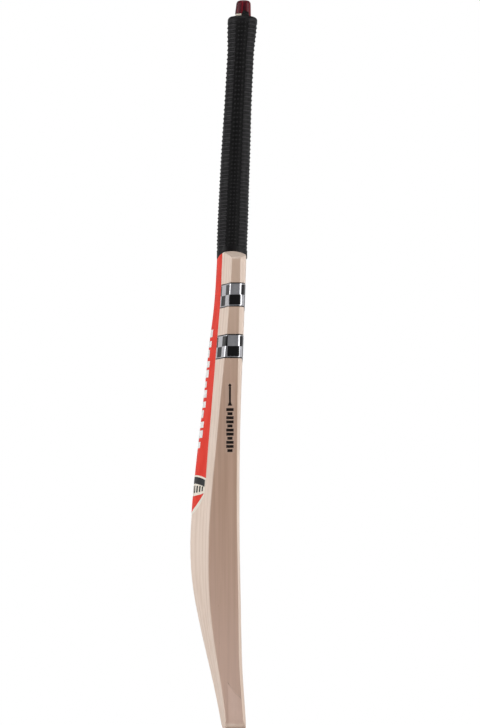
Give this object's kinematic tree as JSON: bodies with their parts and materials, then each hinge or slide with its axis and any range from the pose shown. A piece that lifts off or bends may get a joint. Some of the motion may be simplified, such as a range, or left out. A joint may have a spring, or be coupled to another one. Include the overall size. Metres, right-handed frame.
{
  "type": "cricket bat",
  "caption": "Cricket bat: spliced willow blade with a swollen spine, a laminated cane handle, a ribbed rubber grip and stickers, for striking a ball.",
  "frame": {"origin": "middle of the flat under the toe", "axes": "+Z from the toe to the handle, -Y is the way the hitting face looks, +Y is the spine side, X is the width"},
  "size_m": [0.108, 0.0789, 0.857],
  "materials": {
    "willow": "pale sanded and polished willow, straight grain along the blade",
    "cane": "laminated cane, matt",
    "spring_rubber": "dark rubber sheet",
    "twine": "waxed linen twine",
    "grip_rubber": "black moulded rubber with ribs and pips",
    "maroon_lacquer": "maroon gloss lacquer on the turned end",
    "red_sticker": "satin printed vinyl, red",
    "shield_sticker": "satin printed vinyl, black, white and red",
    "check_foil": "black vinyl with silver foil squares",
    "edge_decal": "clear decal with thin black marks",
    "toe_film": "thin translucent film"
  },
  "bodies": {
    "root": {"blade": "willow", "cane_slip_01": "cane", "cane_slip_02": "cane", "cane_slip_03": "cane", "cane_slip_04": "cane", "cane_slip_05": "cane", "cane_slip_06": "cane", "cane_slip_07": "cane", "cane_slip_08": "cane", "cane_slip_09": "cane", "cane_slip_10": "cane", "cane_slip_11": "cane", "cane_slip_12": "cane", "rubber_spring_left": "spring_rubber", "rubber_spring_middle": "spring_rubber", "rubber_spring_right": "spring_rubber", "twine_binding": "twine", "handle_grip": "grip_rubber", "handle_knob": "maroon_lacquer", "spine_label": "red_sticker", "shield_label": "shield_sticker", "lower_check_band": "check_foil", "upper_check_band": "check_foil", "edge_label_left": "edge_decal", "edge_label_right": "edge_decal", "toe_guard": "toe_film"}
  },
  "joints": []
}
